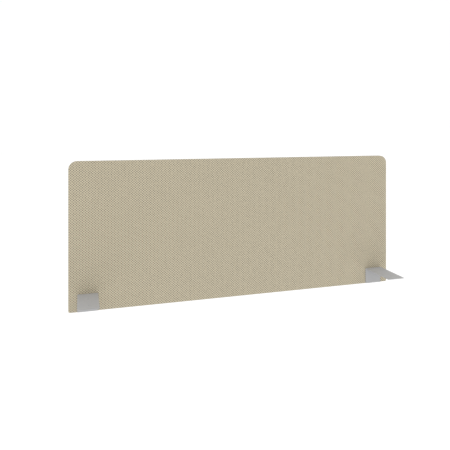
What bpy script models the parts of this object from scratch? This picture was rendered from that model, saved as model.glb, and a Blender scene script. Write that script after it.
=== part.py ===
"""Desk privacy panel: a padded board in a two-piece fabric cover, carried by two bent-steel desk brackets.

Frame: X along the panel, +Y away from the desk user, +Z up. The origin is midway between the brackets, on
the plane of the flange tops (the underside of the desktop) and in the plane of the cover's front face.
"""

import math

import bmesh
import bpy
from mathutils import Matrix, Vector

MM = 0.001

# Driving dimensions
PANEL_LENGTH = 1090 * MM
PANEL_HEIGHT = 451 * MM
PANEL_BELOW_DESKTOP = 54.25 * MM
TOP_CORNER_RADIUS = 25 * MM
BOTTOM_CORNER_RADIUS = 4 * MM
COVER_EDGE_RADIUS = 2.5 * MM

COVER_THICKNESS = 0.7 * MM
FOAM_THICKNESS = 1.7 * MM
BOARD_THICKNESS = 16 * MM
GAP = 0.3 * MM

BRACKET_WIDTH = 60 * MM
BRACKET_END_INSET = 26 * MM
BRACKET_LEG_HEIGHT = 53.5 * MM
FLANGE_DEPTH = 136 * MM
BRACKET_SHEET = 2 * MM
BEND_INNER_RADIUS = 1 * MM
BRACKET_CORNER_RADIUS = 1 * MM
SHEET_EDGE_BEVEL = 0.3 * MM

FIXING_SPACING = 36 * MM
DESK_SCREW_HOLE_RADIUS = 2.25 * MM
DESK_SCREW_ROWS = (-45 * MM, -105 * MM)

STUD_RADIUS = 3 * MM
STUD_LENGTH = 19 * MM
STUD_BASE_RADIUS = 3.75 * MM
STUD_BASE_THICKNESS = 0.8 * MM
STUD_TIP_CHAMFER = 0.6 * MM

REAR_PLATE_THICKNESS = 2 * MM
REAR_PLATE_CORNER_RADIUS = 3 * MM

NUT_BARREL_RADIUS = 4 * MM
NUT_BARREL_LENGTH = 14 * MM
NUT_HEAD_RADIUS = 7.5 * MM
NUT_HEAD_THICKNESS = 1.8 * MM
NUT_HEAD_EDGE = 0.6 * MM
NUT_BORE_DEPTH = 9 * MM
NUT_SOCKET_ACROSS_FLATS = 4 * MM
NUT_SOCKET_DEPTH = 3 * MM

# Derived places
COVER_DEPTH = 2 * (COVER_THICKNESS + FOAM_THICKNESS + 2 * GAP) + BOARD_THICKNESS
SEAM_Y = COVER_DEPTH / 2
FOAM_FRONT_Y = COVER_THICKNESS + GAP
BOARD_FRONT_Y = FOAM_FRONT_Y + FOAM_THICKNESS + GAP
BOARD_INSET = COVER_THICKNESS + GAP
FOAM_INSET = COVER_EDGE_RADIUS + COVER_THICKNESS
PANEL_BOTTOM_Z = -PANEL_BELOW_DESKTOP
PANEL_TOP_Z = PANEL_BOTTOM_Z + PANEL_HEIGHT
BRACKET_X = PANEL_LENGTH / 2 - BRACKET_END_INSET - BRACKET_WIDTH / 2
LEG_BOTTOM_Z = -BRACKET_LEG_HEIGHT
FIXING_Z = LEG_BOTTOM_Z / 2
REAR_PLATE_Y = COVER_DEPTH + GAP
NUT_HEAD_Y = REAR_PLATE_Y + REAR_PLATE_THICKNESS + GAP

BARREL_HOLE_RADIUS = NUT_BARREL_RADIUS + GAP
SOFT_HOLE_RADIUS = BARREL_HOLE_RADIUS + 0.2 * MM
NUT_BORE_RADIUS = STUD_RADIUS + GAP

TOP_CORNER_STEPS = 12
BOTTOM_CORNER_STEPS = 4
COVER_EDGE_STEPS = 4
BEND_STEPS = 6
ROUND_SIDES = 24
SIDES = {"left": -1, "right": 1}

# Finishes: base colour, roughness, metallic
FINISHES = {
    "cover_fabric": ((0.50, 0.45, 0.34), 0.95, 0.0),
    "padding": ((0.22, 0.22, 0.21), 1.0, 0.0),
    "board": ((0.55, 0.42, 0.28), 0.8, 0.0),
    "grey_powder_coat": ((0.45, 0.45, 0.45), 0.5, 0.0),
    "zinc_plate": ((0.66, 0.67, 0.68), 0.35, 1.0),
}


def clear_scene():
    for obj in list(bpy.data.objects):
        bpy.data.objects.remove(obj)


def make_material(node, finish):
    colour, roughness, metallic = FINISHES[finish]
    material = bpy.data.materials.new(f"{node}_{finish}")
    material.use_nodes = True
    shader = material.node_tree.nodes["Principled BSDF"]
    shader.inputs["Base Color"].default_value = (*colour, 1.0)
    shader.inputs["Roughness"].default_value = roughness
    shader.inputs["Metallic"].default_value = metallic
    return material


def make_object(name, mesh_builder, finish, location=(0, 0, 0)):
    """Wraps a bmesh in an object at its place, with its own material."""
    mesh = bpy.data.meshes.new(name)
    bmesh.ops.recalc_face_normals(mesh_builder, faces=mesh_builder.faces)
    mesh_builder.to_mesh(mesh)
    mesh_builder.free()
    mesh.materials.append(make_material(name, finish))
    obj = bpy.data.objects.new(name, mesh)
    obj.location = location
    bpy.context.scene.collection.objects.link(obj)
    return obj


def shade_round(obj, sharp_from_degrees=35):
    obj.data.shade_smooth()
    obj.data.set_sharp_from_angle(angle=math.radians(sharp_from_degrees))


def add_bevel(obj, width):
    bevel = obj.modifiers.new("edge_rounding", "BEVEL")
    bevel.width = width
    bevel.segments = 2
    bevel.limit_method = "ANGLE"
    bevel.angle_limit = math.radians(40)


def bore(obj, points, radius, depth, direction):
    """Cuts round holes of one size, centred on world points and running along direction."""
    for number, point in enumerate(points, start=1):
        cutter_mesh = bmesh.new()
        bmesh.ops.create_cone(
            cutter_mesh,
            cap_ends=True,
            segments=ROUND_SIDES,
            radius1=radius,
            radius2=radius,
            depth=depth,
            matrix=direction.to_track_quat("Z", "X").to_matrix().to_4x4(),
        )
        cutter = make_object(f"{obj.name}_bore_{number}", cutter_mesh, "zinc_plate", point)
        cutter.hide_render = True
        cutter.display_type = "WIRE"
        cut = obj.modifiers.new(cutter.name, "BOOLEAN")
        cut.operation = "DIFFERENCE"
        cut.object = cutter


def fixing_points(sides=("left", "right"), depth=SEAM_Y):
    """Centres of the through fixings, two behind each bracket leg."""
    points = []
    for side in sides:
        for step in (-0.5, 0.5):
            points.append(Vector((SIDES[side] * BRACKET_X + step * FIXING_SPACING, depth, FIXING_Z)))
    return points


def panel_outline(inset):
    """Corner-rounded outline of the panel in XZ, moved inwards by inset, anticlockwise seen from the front."""
    half_length = PANEL_LENGTH / 2
    top = (PANEL_TOP_Z, -TOP_CORNER_RADIUS, TOP_CORNER_STEPS)
    bottom = (PANEL_BOTTOM_Z, BOTTOM_CORNER_RADIUS, BOTTOM_CORNER_STEPS)
    corners = ((1, 0, top), (-1, 90, top), (-1, 180, bottom), (1, 270, bottom))
    outline = []
    for side, start_angle, (edge_z, inwards, steps) in corners:
        radius = abs(inwards)
        centre_x = side * (half_length - radius)
        centre_z = edge_z + inwards
        for step in range(steps + 1):
            angle = math.radians(start_angle + 90 * step / steps)
            x = centre_x + (radius - inset) * math.cos(angle)
            z = centre_z + (radius - inset) * math.sin(angle)
            outline.append((x, z))
    return outline


def stacked_loops(loops):
    """A closed body through a stack of (inset, y) outlines, with a flat cap on the first and the last."""
    body = bmesh.new()
    rings = []
    for inset, y in loops:
        rings.append([body.verts.new((x, y, z)) for x, z in panel_outline(inset)])
    for ring, following in zip(rings, rings[1:]):
        for index in range(len(ring)):
            after = (index + 1) % len(ring)
            body.faces.new((ring[index], ring[after], following[after], following[index]))
    body.faces.new(rings[0])
    body.faces.new(rings[-1])
    return body


def edge_arc(radius, centre_inset, face_y, into):
    """(inset, y) points of a quarter round that runs from the face to the side wall."""
    points = []
    for step in range(COVER_EDGE_STEPS + 1):
        angle = math.radians(90 * step / COVER_EDGE_STEPS)
        inset = centre_inset - radius * math.sin(angle)
        points.append((inset, face_y + into * radius * (1 - math.cos(angle))))
    return points


def make_cover(name, face_y, into):
    """One half of the fabric cover: a face with its sides turned back to the seam at mid-thickness."""
    seam_y = SEAM_Y - into * GAP / 2
    outer = edge_arc(COVER_EDGE_RADIUS, COVER_EDGE_RADIUS, face_y, into)
    inner_radius = COVER_EDGE_RADIUS - COVER_THICKNESS
    inner = edge_arc(inner_radius, COVER_EDGE_RADIUS, face_y + into * COVER_THICKNESS, into)
    rim = [(0, seam_y), (COVER_THICKNESS, seam_y)]
    cover = make_object(name, stacked_loops(outer + rim + inner[::-1]), "cover_fabric")
    bore(cover, fixing_points(depth=face_y), SOFT_HOLE_RADIUS, 4 * COVER_THICKNESS, Vector((0, 1, 0)))
    shade_round(cover)
    return cover


def make_slab(name, inset, front_y, thickness, finish, hole_radius):
    """A flat sheet cut to the panel's outline and drilled for the through fixings."""
    slab = make_object(name, stacked_loops([(inset, front_y), (inset, front_y + thickness)]), finish)
    middle = front_y + thickness / 2
    bore(slab, fixing_points(depth=middle), hole_radius, 2 * thickness, Vector((0, 1, 0)))
    shade_round(slab)
    return slab


def bracket_profile():
    """Side outline of the bent sheet in YZ: leg down behind, flange forward, bent round one corner."""
    back_y = -GAP
    leg_front_y = back_y - BRACKET_SHEET
    flange_tip_y = -FLANGE_DEPTH
    flange_under_z = -BRACKET_SHEET
    outer_radius = BEND_INNER_RADIUS + BRACKET_SHEET
    centre_y = back_y - outer_radius
    centre_z = -outer_radius
    profile = [(back_y, LEG_BOTTOM_Z)]
    for step in range(BEND_STEPS + 1):
        angle = math.radians(90 * step / BEND_STEPS)
        profile.append((centre_y + outer_radius * math.cos(angle), centre_z + outer_radius * math.sin(angle)))
    profile += [(flange_tip_y, 0), (flange_tip_y, flange_under_z)]
    for step in range(BEND_STEPS + 1):
        angle = math.radians(90 - 90 * step / BEND_STEPS)
        y = centre_y + BEND_INNER_RADIUS * math.cos(angle)
        z = centre_z + BEND_INNER_RADIUS * math.sin(angle)
        profile.append((y, z))
    profile.append((leg_front_y, LEG_BOTTOM_Z))
    return profile


def is_sheet_corner(edge):
    """True on the short edges that cross the sheet at the flange's tip and at the leg's foot."""
    first, second = (vert.co for vert in edge.verts)
    if abs(first.x - second.x) > MM / 100:
        return False
    at_tip = max(first.y, second.y) < -FLANGE_DEPTH + MM / 100
    at_foot = max(first.z, second.z) < LEG_BOTTOM_Z + MM / 100
    return at_tip or at_foot


def make_bracket(side):
    """Desk bracket: a leg against the cover and a flange that goes under the desktop."""
    body = bmesh.new()
    half_width = BRACKET_WIDTH / 2
    ends = []
    for x in (-half_width, half_width):
        ends.append([body.verts.new((x, y, z)) for y, z in bracket_profile()])
    count = len(ends[0])
    for index in range(count):
        after = (index + 1) % count
        body.faces.new((ends[0][index], ends[0][after], ends[1][after], ends[1][index]))
    for end in ends:
        body.faces.new(end)
    corners = [edge for edge in body.edges if is_sheet_corner(edge)]
    bmesh.ops.bevel(
        body,
        geom=corners,
        offset=BRACKET_CORNER_RADIUS,
        segments=4,
        profile=0.5,
        affect="EDGES",
    )
    centre = Vector((SIDES[side] * BRACKET_X, 0, 0))
    bracket = make_object(f"{side}_bracket", body, "grey_powder_coat", centre)
    add_bevel(bracket, SHEET_EDGE_BEVEL)
    holes = [centre + Vector((0, row_y, -BRACKET_SHEET / 2)) for row_y in DESK_SCREW_ROWS]
    bore(bracket, holes, DESK_SCREW_HOLE_RADIUS, 3 * BRACKET_SHEET, Vector((0, 0, 1)))
    shade_round(bracket)
    return bracket


def make_rear_plate(side):
    """Flat plate that spreads the clamp load over the padded rear face."""
    body = bmesh.new()
    size = (BRACKET_WIDTH, REAR_PLATE_THICKNESS, BRACKET_LEG_HEIGHT)
    bmesh.ops.create_cube(body, size=1, matrix=Matrix.Diagonal((*size, 1)))
    corners = []
    for edge in body.edges:
        first, second = (vert.co for vert in edge.verts)
        if abs(first.y - second.y) > REAR_PLATE_THICKNESS / 2:
            corners.append(edge)
    bmesh.ops.bevel(
        body,
        geom=corners,
        offset=REAR_PLATE_CORNER_RADIUS,
        segments=6,
        profile=0.5,
        affect="EDGES",
    )
    centre = (SIDES[side] * BRACKET_X, REAR_PLATE_Y + REAR_PLATE_THICKNESS / 2, LEG_BOTTOM_Z / 2)
    plate = make_object(f"{side}_rear_plate", body, "grey_powder_coat", centre)
    add_bevel(plate, SHEET_EDGE_BEVEL)
    holes = fixing_points([side], depth=centre[1])
    bore(plate, holes, BARREL_HOLE_RADIUS, 3 * REAR_PLATE_THICKNESS, Vector((0, 1, 0)))
    shade_round(plate)
    return plate


def turned_body(profile):
    """A solid of revolution about +Y from (radius, y) points that start and end on the axis."""
    body = bmesh.new()
    first = body.verts.new((0, profile[0][1], 0))
    last = body.verts.new((0, profile[-1][1], 0))
    rings = []
    for radius, y in profile[1:-1]:
        ring = []
        for step in range(ROUND_SIDES):
            angle = 2 * math.pi * step / ROUND_SIDES
            ring.append(body.verts.new((radius * math.cos(angle), y, radius * math.sin(angle))))
        rings.append(ring)
    for step in range(ROUND_SIDES):
        after = (step + 1) % ROUND_SIDES
        body.faces.new((first, rings[0][step], rings[0][after]))
        for ring, following in zip(rings, rings[1:]):
            body.faces.new((ring[step], following[step], following[after], ring[after]))
        body.faces.new((last, rings[-1][after], rings[-1][step]))
    return body


def make_weld_stud(side, number, point):
    """Stud welded to the back of the leg; it passes through the board to the sleeve nut."""
    tip = STUD_LENGTH
    profile = [
        (0, 0),
        (STUD_BASE_RADIUS, 0),
        (STUD_BASE_RADIUS, STUD_BASE_THICKNESS),
        (STUD_RADIUS, STUD_BASE_THICKNESS),
        (STUD_RADIUS, tip - STUD_TIP_CHAMFER),
        (STUD_RADIUS - STUD_TIP_CHAMFER, tip),
        (0, tip),
    ]
    stud = make_object(f"{side}_weld_stud_{number}", turned_body(profile), "zinc_plate", point)
    shade_round(stud)
    return stud


def make_sleeve_nut(side, number, point):
    """Flat-headed sleeve nut: its head bears on the rear plate and its barrel reaches into the board."""
    back = NUT_HEAD_THICKNESS
    barrel_end = back - NUT_BARREL_LENGTH
    profile = [
        (0, barrel_end + NUT_BORE_DEPTH),
        (NUT_BORE_RADIUS, barrel_end + NUT_BORE_DEPTH),
        (NUT_BORE_RADIUS, barrel_end),
        (NUT_BARREL_RADIUS, barrel_end),
        (NUT_BARREL_RADIUS, 0),
        (NUT_HEAD_RADIUS, 0),
        (NUT_HEAD_RADIUS, back - NUT_HEAD_EDGE),
        (NUT_HEAD_RADIUS - NUT_HEAD_EDGE, back),
        (0, back),
    ]
    nut = make_object(f"{side}_sleeve_nut_{number}", turned_body(profile), "zinc_plate", point)
    socket_mesh = bmesh.new()
    socket_radius = NUT_SOCKET_ACROSS_FLATS / math.sqrt(3)
    bmesh.ops.create_cone(
        socket_mesh,
        cap_ends=True,
        segments=6,
        radius1=socket_radius,
        radius2=socket_radius,
        depth=2 * NUT_SOCKET_DEPTH,
        matrix=Matrix.Rotation(math.radians(90), 4, "X"),
    )
    socket_centre = point + Vector((0, back, 0))
    socket = make_object(f"{nut.name}_socket", socket_mesh, "zinc_plate", socket_centre)
    socket.hide_render = True
    socket.display_type = "WIRE"
    cut = nut.modifiers.new("hex_socket", "BOOLEAN")
    cut.operation = "DIFFERENCE"
    cut.object = socket
    shade_round(nut)
    return nut


def build():
    clear_scene()
    make_slab("core_board", BOARD_INSET, BOARD_FRONT_Y, BOARD_THICKNESS, "board", BARREL_HOLE_RADIUS)
    rear_foam_y = COVER_DEPTH - FOAM_FRONT_Y - FOAM_THICKNESS
    make_slab("front_foam", FOAM_INSET, FOAM_FRONT_Y, FOAM_THICKNESS, "padding", SOFT_HOLE_RADIUS)
    make_slab("rear_foam", FOAM_INSET, rear_foam_y, FOAM_THICKNESS, "padding", SOFT_HOLE_RADIUS)
    make_cover("front_cover", 0, 1)
    make_cover("rear_cover", COVER_DEPTH, -1)
    for side in SIDES:
        make_bracket(side)
        make_rear_plate(side)
        for number, point in enumerate(fixing_points([side], depth=0), start=1):
            make_weld_stud(side, number, point)
        for number, point in enumerate(fixing_points([side], depth=NUT_HEAD_Y), start=1):
            make_sleeve_nut(side, number, point)


build()
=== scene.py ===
# %% [markdown]
# # A desk privacy panel
# A desk privacy panel is a padded board in a tight cloth cover. Two bent steel brackets hold it: their
# flanges are screwed under the desktop, and their legs carry the board. The solid parts were designed
# first, so this lesson loads them as a fixed frame and makes the surfaces that a visitor sees: a coarse
# open mesh cover, its stitched edge, powder-coated steel and zinc-plated nuts. Lengths are in metres, X
# runs along the panel, +Y points away from the desk user and +Z is up.

# %% Load the frame
import math

import bmesh
import bpy
import numpy as np
from mathutils import Euler, Matrix, Vector


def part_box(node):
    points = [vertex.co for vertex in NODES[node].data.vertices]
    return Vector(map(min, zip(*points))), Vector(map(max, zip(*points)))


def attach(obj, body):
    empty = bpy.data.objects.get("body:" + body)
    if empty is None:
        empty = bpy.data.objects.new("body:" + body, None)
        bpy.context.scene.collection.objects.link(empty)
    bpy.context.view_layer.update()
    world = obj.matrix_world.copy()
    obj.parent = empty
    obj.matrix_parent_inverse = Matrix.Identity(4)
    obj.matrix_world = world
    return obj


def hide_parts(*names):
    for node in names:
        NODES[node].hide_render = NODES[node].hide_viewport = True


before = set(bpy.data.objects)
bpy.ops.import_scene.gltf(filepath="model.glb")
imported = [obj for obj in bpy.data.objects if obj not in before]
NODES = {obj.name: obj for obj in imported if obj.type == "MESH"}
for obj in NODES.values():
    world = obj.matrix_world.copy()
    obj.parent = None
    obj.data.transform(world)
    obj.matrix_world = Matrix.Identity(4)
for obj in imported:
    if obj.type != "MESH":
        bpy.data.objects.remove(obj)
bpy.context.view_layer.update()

MM = 0.001

# %% [markdown]
# ## Where things are
# Places and outer sizes are read from the frame, so nothing here can drift away from the solids. Only
# radii, holes and other details that a box doesn't give are typed in. The two halves of the cover give
# the panel's outline and the plane of its seam.

# %% Measure the panel
def node_box(node):
    """The low and the high corner of a solid, as vectors."""
    low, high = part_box(node)
    return Vector(low), Vector(high)


FRONT_LOW, FRONT_HIGH = node_box("front_cover")
REAR_LOW, REAR_HIGH = node_box("rear_cover")
PANEL_LENGTH = FRONT_HIGH.x - FRONT_LOW.x
PANEL_HEIGHT = FRONT_HIGH.z - FRONT_LOW.z
PANEL_CENTRE_Z = (FRONT_HIGH.z + FRONT_LOW.z) / 2
SEAM_Y = (FRONT_HIGH.y + REAR_LOW.y) / 2
TOP_RADIUS = 25 * MM
BOTTOM_RADIUS = 4 * MM
EDGE_RADIUS = 2.5 * MM
print(f"panel {PANEL_LENGTH:.3f} x {PANEL_HEIGHT:.3f} m, seam at y = {SEAM_Y:.4f}")

# %% [markdown]
# ## Camera
# A catalogue shot keeps the uprights upright: the camera stays level and its frame is shifted down
# instead of tilting the lens. It stands near the panel's left end, a little above its top, and turns
# slightly to the right.

# %% Camera
CAMERA_PLACE = Vector((-0.508, -1.528, 0.49745))
CAMERA_TURN = math.radians(-16.35)
FOCAL_LENGTH = 39.215
SENSOR_WIDTH = 36
FRAME_SHIFT = -0.2163


def add_object(name, data):
    """Puts new data in the scene as an object."""
    obj = bpy.data.objects.new(name, data)
    bpy.context.scene.collection.objects.link(obj)
    return obj


camera_data = bpy.data.cameras.new("catalogue_camera")
camera_data.lens = FOCAL_LENGTH
camera_data.sensor_width = SENSOR_WIDTH
camera_data.shift_y = FRAME_SHIFT
camera = add_object("catalogue_camera", camera_data)
camera.location = CAMERA_PLACE
camera.rotation_euler = Euler((math.radians(90), 0, CAMERA_TURN))
bpy.context.scene.camera = camera

# %% [markdown]
# ## Light and floor
# Soft, even light from all sides shows a textile best, so the object stands in a light tent: a bright
# world does most of the work, one very large dim lamp stands for the tent's top, and the pale floor glows
# a little, as a light table does, so that it stays white. The view transform is the plain one.

# %% World and lamp
WORLD_STRENGTH = 1.01
SOFTBOX_PLACE = Vector((0.2, -0.4, 3.2))
SOFTBOX_SIZE = 3.0
SOFTBOX_WATTS = 6
WHITE = (1.0, 1.0, 1.0, 1.0)

bpy.context.scene.view_settings.view_transform = "Standard"
world = bpy.data.worlds.new("soft_studio")
world.use_nodes = True
world.node_tree.nodes["Background"].inputs["Color"].default_value = WHITE
world.node_tree.nodes["Background"].inputs["Strength"].default_value = WORLD_STRENGTH
bpy.context.scene.world = world

softbox_lamp = bpy.data.lights.new("overhead_softbox", "AREA")
softbox_lamp.shape = "SQUARE"
softbox_lamp.size = SOFTBOX_SIZE
softbox_lamp.energy = SOFTBOX_WATTS
softbox = add_object("overhead_softbox", softbox_lamp)
softbox.location = SOFTBOX_PLACE
softbox.rotation_euler = (-SOFTBOX_PLACE).to_track_quat("-Z", "Y").to_euler()

# %% Floor
FLOOR_DROP = 0.60
FLOOR_HALF_SIZE = 20


def mesh_from(build, name):
    """Turns a finished bmesh into a mesh and frees it."""
    mesh = bpy.data.meshes.new(name)
    build.to_mesh(mesh)
    build.free()
    return mesh


floor_build = bmesh.new()
bmesh.ops.create_grid(floor_build, x_segments=1, y_segments=1, size=FLOOR_HALF_SIZE)
bmesh.ops.translate(floor_build, verts=floor_build.verts, vec=(0, 0, FRONT_LOW.z - FLOOR_DROP))
floor_mesh = mesh_from(floor_build, "studio_floor")
floor = add_object("studio_floor", floor_mesh)

# %% [markdown]
# ## Writing node trees as sums
# A material or a Geometry Nodes tree is easier to read as a formula than as a picture of boxes. `Wire`
# stands for one output socket: adding or multiplying wires adds the Math nodes. `Tree.node` adds any
# other node, so every tree below is written with these two.

# %% Wires
class Wire:
    """One output socket of a node tree, on which arithmetic adds Math nodes."""

    def __init__(self, tree, socket):
        self.tree = tree
        self.socket = socket

    def maths(self, operation, *others):
        sockets = dict(enumerate((self, *others)))
        return self.tree.node("ShaderNodeMath", {"operation": operation}, sockets)

    def output(self, name):
        """Another output of the node that this wire comes from."""
        return Wire(self.tree, self.socket.node.outputs[name])

    def __add__(self, other):
        return self.maths("ADD", other)

    def __radd__(self, other):
        return self.maths("ADD", other)

    def __sub__(self, other):
        return self.maths("SUBTRACT", other)

    def __rsub__(self, other):
        return self.tree.node("ShaderNodeMath", {"operation": "SUBTRACT"}, {0: other, 1: self})

    def __mul__(self, other):
        return self.maths("MULTIPLY", other)

    def __rmul__(self, other):
        return self.maths("MULTIPLY", other)

    def __truediv__(self, other):
        return self.maths("DIVIDE", other)

    def __gt__(self, other):
        return self.maths("GREATER_THAN", other)


# %% Trees
class Tree:
    """A node tree to which nodes are added by type, settings and sockets."""

    def __init__(self, tree):
        self.tree = tree

    def node(self, kind, settings=None, sockets=None):
        node = self.tree.nodes.new(kind)
        for name, value in (settings or {}).items():
            setattr(node, name, value)
        for key, value in (sockets or {}).items():
            if isinstance(value, Wire):
                self.tree.links.new(value.socket, node.inputs[key])
            else:
                node.inputs[key].default_value = value
        if len(node.outputs) == 0:
            return node
        return Wire(self, next(out for out in node.outputs if out.enabled))

    def smooth_step(self, value, start, end):
        """0 where value is at start, 1 where it is at end, and a soft ramp between them."""
        sockets = {"Value": value, "From Min": start, "From Max": end}
        return self.node("ShaderNodeMapRange", {"interpolation_type": "SMOOTHSTEP"}, sockets)

    def mix(self, factor, first, second):
        """Blends two colours."""
        sockets = {"Factor": factor, 6: first, 7: second}
        return self.node("ShaderNodeMix", {"data_type": "RGBA"}, sockets)

    def object_place(self):
        """Where a point lies in its own object, in metres."""
        return self.node("ShaderNodeTexCoord").output("Object")

    def noise(self, place, scale, detail=2.0, roughness=0.5):
        sockets = {"Vector": place, "Scale": scale, "Detail": detail, "Roughness": roughness}
        return self.node("ShaderNodeTexNoise", None, sockets)


# %% [markdown]
# A material starts as one shader with constants. A pattern is then connected only where it changes
# something that can be seen: the base colour, the roughness, or a bump on the normal.

# %% Material helpers
def new_material(name, colour, roughness, metallic=0.0, **constants):
    """A material, its tree and its shader node, whose inputs start as constants."""
    material = bpy.data.materials.new(name)
    material.use_nodes = True
    shader = material.node_tree.nodes["Principled BSDF"]
    shader.inputs["Base Color"].default_value = (*colour, 1.0)
    shader.inputs["Roughness"].default_value = roughness
    shader.inputs["Metallic"].default_value = metallic
    for socket_name, value in constants.items():
        shader.inputs[socket_name.replace("_", " ")].default_value = value
    return material, Tree(material.node_tree), shader


def connect(shader, socket_name, wire):
    """Lets a wire feed a shader input."""
    wire.tree.tree.links.new(wire.socket, shader.inputs[socket_name])


def bump(tree, height, distance, strength=1.0):
    """A normal that follows a height pattern."""
    sockets = {"Height": height, "Distance": distance, "Strength": strength}
    return tree.node("ShaderNodeBump", None, sockets)


def rgb(colour):
    """A colour with full alpha."""
    return (*colour, 1.0)


# %% [markdown]
# The floor is plain: one pale matt paint with a trace of unevenness, light enough to stay pale under a
# soft shadow.

# %% Floor paint
FLOOR_DARK = (0.95, 0.95, 0.95)
FLOOR_MIDDLE = (0.97, 0.97, 0.97)
FLOOR_LIGHT = (0.98, 0.98, 0.98)
FLOOR_GLOW = {"Emission_Color": WHITE, "Emission_Strength": 0.1}
floor_paint, floor_tree, floor_shader = new_material("floor_paint", FLOOR_MIDDLE, 0.9, **FLOOR_GLOW)
floor_mottle = floor_tree.noise(floor_tree.object_place(), 3.0)
connect(floor_shader, "Base Color", floor_tree.mix(floor_mottle, rgb(FLOOR_DARK), rgb(FLOOR_LIGHT)))
floor_mesh.materials.append(floor_paint)

# %% [markdown]
# ## The open mesh cloth
# The cover is a coarse warp-knitted mesh. Its eyes lie in rows, and each row is shifted by half a step,
# so the yarn between them forms a net of hexagons. The same formula gives the eyes' depth in the surface
# and their colour in the material, so that the two always agree: it measures where a point lies in its
# nearest eye.

# %% The net's lattice
WANTED_EYE_PITCH = 8.5 * MM
WANTED_ROW_PAIR = 7.5 * MM
NET_WIDTH = PANEL_LENGTH - 2 * EDGE_RADIUS
NET_HEIGHT = PANEL_HEIGHT - 2 * EDGE_RADIUS
NET_COLUMNS = round(NET_WIDTH / WANTED_EYE_PITCH)
NET_ROWS = 2 * round(NET_HEIGHT / WANTED_ROW_PAIR) + 1
EYE_PITCH = NET_WIDTH / NET_COLUMNS
ROW_PITCH = NET_HEIGHT / NET_ROWS
EYE_HALF_WIDTH = 1.55 * MM
EYE_HALF_HEIGHT = 1.75 * MM
EYE_DEPTH = 0.60 * MM
NET_PROUD = 0.15 * MM
print(f"{NET_COLUMNS} eyes of {EYE_PITCH * 1000:.2f} mm, {NET_ROWS} rows of {ROW_PITCH * 1000:.2f} mm")


def nearest_eye(across, up):
    """Where a point lies in its nearest eye: (x, z) in metres from the middle, and 1 on the eye's rim.

    across and up are measured from the net's centre. Every second row is a lattice of its own, so the
    nearest eye is the nearer of two candidates.
    """
    candidates = []
    for shift in (0.0, 0.5):
        column = (across + NET_WIDTH / 2) / EYE_PITCH + shift
        row_pair = (up + NET_HEIGHT / 2) / (2 * ROW_PITCH) + (0.25 - shift)
        x = (column.maths("FRACT") - 0.5) * EYE_PITCH
        z = (row_pair.maths("FRACT") - 0.5) * (2 * ROW_PITCH)
        share_x = x / EYE_HALF_WIDTH
        share_z = z / EYE_HALF_HEIGHT
        candidates.append((x, z, (share_x * share_x + share_z * share_z).maths("SQRT")))
    even, odd = candidates
    odd_wins = even[2] > odd[2]
    return tuple(first + odd_wins * (second - first) for first, second in zip(even, odd))


# %% [markdown]
# Two strands of sand-coloured yarn run side by side between neighbouring eyes. They are drawn from the
# same distance: it is 1 on an eye's rim and rises outwards, so a wave of it gives the strands' crests, and
# the angle round the eye gives the twist of each strand. The same waves paint the crests and twists
# lighter and the grooves between them darker: painted shade of the yarn's relief. A grey backing with a
# fine weave shows at the bottom of each eye, with painted shade darkening it under its rim. The colour
# reads a cloth map that runs on over the panel's edges, as real cloth does.

# %% Patterns of the yarn and its backing
FULL_TURN = 2 * math.pi
FIBRES_ROUND_EYE = 2.5
FIBRES_OUTWARDS = 16
FIBRE_CHANGE_ACROSS = 150
FIBRE_CHANGE_UP = 90
BACKING_LIGHT = (0.205, 0.205, 0.180)
BACKING_DARK_AND_RIM_SHADE = (0.130, 0.130, 0.112)
BACKING_PITCH = 0.6 * MM


def fibre_pattern(tree, angle, distance, across, up):
    """Fine fibres: noise that is stretched along the strands and differs from eye to eye."""
    circle_x = angle.maths("COSINE") * FIBRES_ROUND_EYE
    circle_z = angle.maths("SINE") * FIBRES_ROUND_EYE
    outwards = distance * FIBRES_OUTWARDS + across * FIBRE_CHANGE_ACROSS + up * FIBRE_CHANGE_UP
    place = tree.node("ShaderNodeCombineXYZ", None, {0: circle_x, 1: circle_z, 2: outwards})
    return tree.noise(place, 1.0, detail=2.0, roughness=0.6)


def backing_colour_and_rim_shade(tree, distance, across, up):
    """The finely woven backing, with painted shade that darkens it under the rim of its eye."""
    weave_x = (across * (FULL_TURN / BACKING_PITCH)).maths("SINE")
    weave_z = (up * (FULL_TURN / BACKING_PITCH)).maths("SINE")
    # Painted shade: the backing gets darker towards the eye's rim, where the yarn above would shade it.
    clear_of_rim_shade = 1 - tree.smooth_step(distance, 0.35, 1.0)
    return tree.mix(0.75 * clear_of_rim_shade + 0.25 * weave_x * weave_z, rgb(BACKING_DARK_AND_RIM_SHADE), rgb(BACKING_LIGHT))


# %% Mesh cloth material
YARN_LIGHT = (0.688, 0.602, 0.428)
YARN_DARK_AND_GROOVE_SHADE = (0.385, 0.338, 0.243)
# How much each pattern adds to the yarn's tone. Strand and twist are painted shade: crests lighter,
# grooves darker. Fibre, fleck and the large blotches called shade are random tone.
YARN_TONE_AND_PAINTED_SHADE = {"base": 0.43, "strand": 0.54, "twist": 0.12, "fibre": 0.5, "fleck": 0.3, "shade": 0.10}
YARN_RELIEF = {"base": 0.30, "strand": 0.25, "twist": 0.06, "fibre": 0.10}
YARN_BUMP = 1.0 * MM
EYE_RIM = (0.80, 1.12)
STRAND_WIDTH = 0.68
TWISTS_ROUND_EYE = 14
TWIST_SLANT = 8.0


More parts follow.
